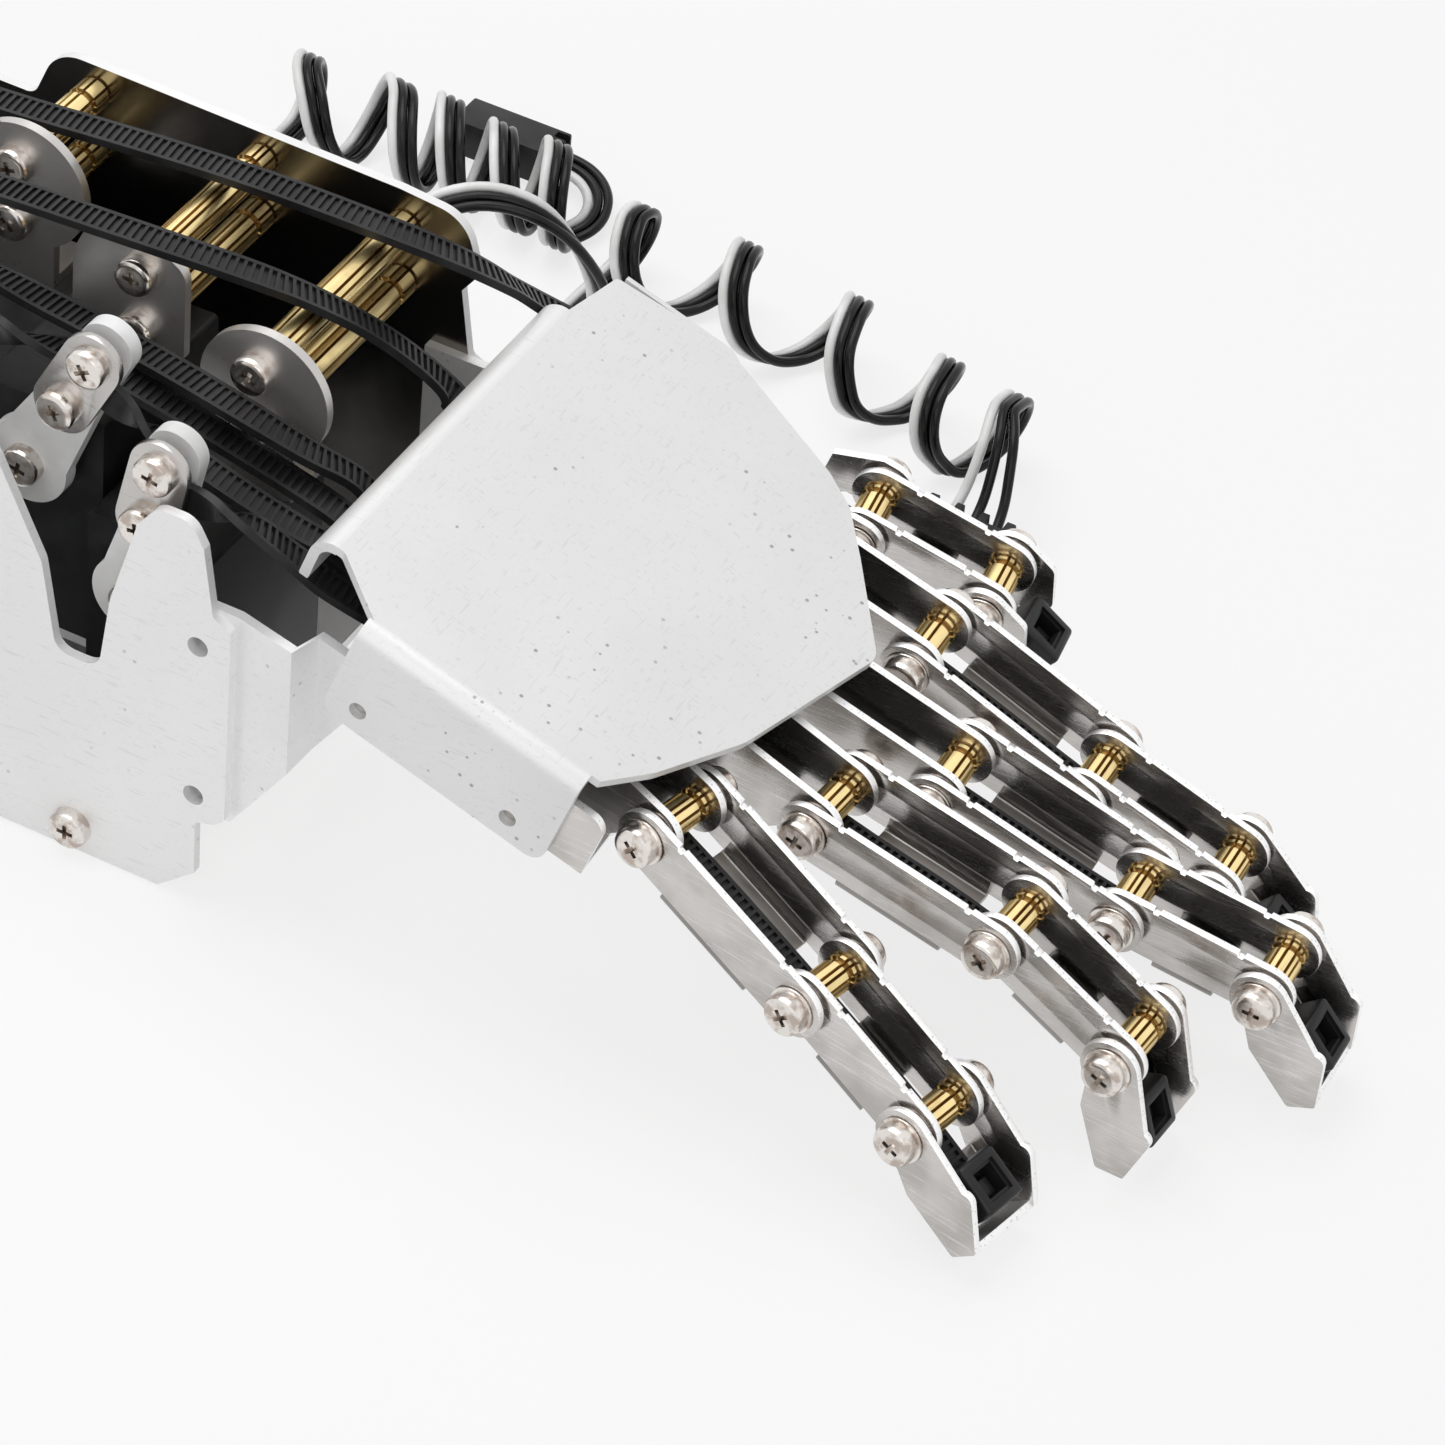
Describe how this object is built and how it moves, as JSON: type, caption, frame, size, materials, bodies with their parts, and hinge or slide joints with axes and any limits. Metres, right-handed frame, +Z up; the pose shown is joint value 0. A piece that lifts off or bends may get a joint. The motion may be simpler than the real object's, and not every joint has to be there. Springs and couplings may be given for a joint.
{
  "type": "robot hand",
  "caption": "Strap driven robot hand of folded metal links on brass spacers, with a bent palm cover, wrist bracket and an open forearm of servos",
  "frame": {"origin": "under the middle of the hand's box without its leads, on the surface it lies on", "axes": "+X from forearm to fingertips, +Y to the thumb side, +Z up"},
  "size_m": [0.2858, 0.1875, 0.0821],
  "materials": {
    "aluminium_link": "bare sheet with light brushing",
    "aluminium_plate": "bare sheet with fine scratches",
    "brass_knurled": "knurled brass",
    "nickel_screw": "nickel plated",
    "black_strap": "black nylon",
    "white_horn": "white moulded plastic",
    "servo_case": "black moulded plastic",
    "lead_wires": "one white and two black wires",
    "black_plug": "black moulded plastic"
  },
  "bodies": {
    "hand_frame": {"near_side_plate": "aluminium_plate", "far_side_plate": "aluminium_plate", "rear_plate": "aluminium_plate", "spacers": "brass_knurled", "forearm_screws": "nickel_screw", "servo_tabs": "aluminium_plate", "servo_tray": "aluminium_plate", "little_servo": "servo_case", "ring_servo": "servo_case", "middle_servo": "servo_case", "index_servo": "servo_case", "thumb_servo": "servo_case", "swing_servo": "servo_case", "palm_cover": "aluminium_plate", "palm_frame": "aluminium_link", "wrist_bracket": "aluminium_plate", "little_strap": "black_strap", "ring_strap": "black_strap", "middle_strap": "black_strap", "index_strap": "black_strap", "palm_pivots": "brass_knurled", "thumb_strap": "black_strap", "swing_strap": "black_strap", "lead_grommets": "servo_case", "lead_1": "lead_wires", "lead_1_plug": "black_plug", "lead_2": "lead_wires", "lead_2_plug": "black_plug"},
    "little_proximal": {"little_proximal_link": "aluminium_link"},
    "little_middle": {"little_middle_link": "aluminium_link", "little_pivots": "brass_knurled"},
    "little_tip": {"little_tip_link": "aluminium_link"},
    "ring_proximal": {"ring_proximal_link": "aluminium_link"},
    "ring_middle": {"ring_middle_link": "aluminium_link", "ring_pivots": "brass_knurled"},
    "ring_tip": {"ring_tip_link": "aluminium_link"},
    "middle_proximal": {"middle_proximal_link": "aluminium_link"},
    "middle_middle": {"middle_middle_link": "aluminium_link", "middle_pivots": "brass_knurled"},
    "middle_tip": {"middle_tip_link": "aluminium_link"},
    "index_proximal": {"index_proximal_link": "aluminium_link"},
    "index_middle": {"index_middle_link": "aluminium_link", "index_pivots": "brass_knurled"},
    "index_tip": {"index_tip_link": "aluminium_link"},
    "thumb_base_body": {"thumb_base": "aluminium_link"},
    "thumb_link_body": {"thumb_link": "aluminium_link", "thumb_pivots": "brass_knurled"},
    "thumb_tip_body": {"thumb_tip": "aluminium_link"},
    "little_horn_body": {"little_horn": "white_horn", "little_clamp": "nickel_screw"},
    "ring_horn_body": {"ring_horn": "white_horn", "ring_clamp": "nickel_screw"},
    "middle_horn_body": {"middle_horn": "white_horn", "middle_clamp": "nickel_screw"},
    "index_horn_body": {"index_horn": "white_horn", "index_clamp": "nickel_screw"},
    "thumb_horn_body": {"thumb_horn": "white_horn", "thumb_clamp": "nickel_screw"},
    "swing_horn_body": {"swing_horn": "white_horn", "swing_clamp": "nickel_screw"}
  },
  "joints": [
    {"name": "little_knuckle", "type": "hinge", "parent": "hand_frame", "child": "little_proximal", "pos_m": [0.05814, -0.03295, 0.0396], "axis": [0.1781, 0.9823, -0.0582], "range_deg": [-5, 60], "deforming": ["little_strap"]},
    {"name": "little_middle_joint", "type": "hinge", "parent": "little_proximal", "child": "little_middle", "pos_m": [0.08434, -0.03844, 0.0272], "axis": [0.1781, 0.9823, -0.0582], "range_deg": [-6, 61]},
    {"name": "little_tip_joint", "type": "hinge", "parent": "little_middle", "child": "little_tip", "pos_m": [0.10356, -0.04252, 0.01708], "axis": [0.1781, 0.9823, -0.0582], "range_deg": [-4, 37]},
    {"name": "ring_knuckle", "type": "hinge", "parent": "hand_frame", "child": "ring_proximal", "pos_m": [0.07221, -0.01475, 0.035], "axis": [0.058, 0.9981, -0.019], "range_deg": [-5, 60], "deforming": ["ring_strap"]},
    {"name": "ring_middle_joint", "type": "hinge", "parent": "ring_proximal", "child": "ring_middle", "pos_m": [0.10113, -0.01654, 0.02949], "axis": [0.058, 0.9981, -0.019], "range_deg": [-6, 61]},
    {"name": "ring_tip_joint", "type": "hinge", "parent": "ring_middle", "child": "ring_tip", "pos_m": [0.1207, -0.01787, 0.0193], "axis": [0.058, 0.9981, -0.019], "range_deg": [-4, 37]},
    {"name": "middle_knuckle", "type": "hinge", "parent": "hand_frame", "child": "middle_proximal", "pos_m": [0.08171, 0.00295, 0.03189], "axis": [-0.0299, 0.9995, 0.0098], "range_deg": [-5, 60], "deforming": ["middle_strap"]},
    {"name": "middle_middle_joint", "type": "hinge", "parent": "middle_proximal", "child": "middle_middle", "pos_m": [0.1098, 0.00387, 0.02293], "axis": [-0.0299, 0.9995, 0.0098], "range_deg": [-6, 61]},
    {"name": "middle_tip_joint", "type": "hinge", "parent": "middle_middle", "child": "middle_tip", "pos_m": [0.13165, 0.00456, 0.01967], "axis": [-0.0299, 0.9995, 0.0098], "range_deg": [-4, 37]},
    {"name": "index_knuckle", "type": "hinge", "parent": "hand_frame", "child": "index_proximal", "pos_m": [0.06869, 0.02105, 0.03615], "axis": [-0.0299, 0.9995, 0.0098], "range_deg": [-5, 60], "deforming": ["index_strap"]},
    {"name": "index_middle_joint", "type": "hinge", "parent": "index_proximal", "child": "index_middle", "pos_m": [0.09563, 0.02197, 0.02416], "axis": [-0.0299, 0.9995, 0.0098], "range_deg": [-6, 61]},
    {"name": "index_tip_joint", "type": "hinge", "parent": "index_middle", "child": "index_tip", "pos_m": [0.11637, 0.02266, 0.01657], "axis": [-0.0299, 0.9995, 0.0098], "range_deg": [-4, 37]},
    {"name": "thumb_swing", "type": "hinge", "parent": "hand_frame", "child": "thumb_base_body", "pos_m": [0.03391, 0.02675, 0.04015], "axis": [0.3107, 0, 0.9505], "range_deg": [-2, 15], "deforming": ["swing_strap"]},
    {"name": "thumb_bend", "type": "hinge", "parent": "thumb_base_body", "child": "thumb_link_body", "pos_m": [0.05005, 0.03975, 0.03803], "axis": [-0.1323, 0.9903, 0.0432], "range_deg": [-3, 50], "deforming": ["thumb_strap"]},
    {"name": "thumb_tip_joint", "type": "hinge", "parent": "thumb_link_body", "child": "thumb_tip_body", "pos_m": [0.06926, 0.04259, 0.03176], "axis": [-0.1323, 0.9903, 0.0432], "range_deg": [-4, 51]},
    {"name": "little_horn_turn", "type": "hinge", "parent": "hand_frame", "child": "little_horn_body", "pos_m": [-0.02379, -0.03785, 0.0418], "axis": [0, 1, 0], "range_deg": [-21.5, 3]},
    {"name": "ring_horn_turn", "type": "hinge", "parent": "hand_frame", "child": "ring_horn_body", "pos_m": [-0.04559, -0.03085, 0.051], "axis": [0, 1, 0], "range_deg": [-21.5, 3]},
    {"name": "middle_horn_turn", "type": "hinge", "parent": "hand_frame", "child": "middle_horn_body", "pos_m": [-0.06639, -0.02435, 0.045], "axis": [0, 1, 0], "range_deg": [-21.5, 3]},
    {"name": "index_horn_turn", "type": "hinge", "parent": "hand_frame", "child": "index_horn_body", "pos_m": [-0.08739, -0.01795, 0.051], "axis": [0, 1, 0], "range_deg": [-21.5, 3]},
    {"name": "thumb_horn_turn", "type": "hinge", "parent": "hand_frame", "child": "thumb_horn_body", "pos_m": [-0.10839, -0.01135, 0.051], "axis": [0, 1, 0], "range_deg": [-15, 2]},
    {"name": "swing_horn_turn", "type": "hinge", "parent": "hand_frame", "child": "swing_horn_body", "pos_m": [-0.12939, 0.00865, 0.051], "axis": [0, 1, 0], "range_deg": [-11, 2]}
  ],
  "couplings": [
    {"joint": "little_middle_joint", "follows": "little_knuckle", "ratio": 1},
    {"joint": "little_tip_joint", "follows": "little_knuckle", "ratio": 0.6},
    {"joint": "ring_middle_joint", "follows": "ring_knuckle", "ratio": 1},
    {"joint": "ring_tip_joint", "follows": "ring_knuckle", "ratio": 0.6},
    {"joint": "middle_middle_joint", "follows": "middle_knuckle", "ratio": 1},
    {"joint": "middle_tip_joint", "follows": "middle_knuckle", "ratio": 0.6},
    {"joint": "index_middle_joint", "follows": "index_knuckle", "ratio": 1},
    {"joint": "index_tip_joint", "follows": "index_knuckle", "ratio": 0.6},
    {"joint": "thumb_tip_joint", "follows": "thumb_bend", "ratio": 1},
    {"joint": "little_horn_turn", "follows": "little_knuckle", "ratio": -0.34},
    {"joint": "ring_horn_turn", "follows": "ring_knuckle", "ratio": -0.34},
    {"joint": "middle_horn_turn", "follows": "middle_knuckle", "ratio": -0.34},
    {"joint": "index_horn_turn", "follows": "index_knuckle", "ratio": -0.34},
    {"joint": "thumb_horn_turn", "follows": "thumb_bend", "ratio": -0.28},
    {"joint": "swing_horn_turn", "follows": "thumb_swing", "ratio": -0.67}
  ]
}
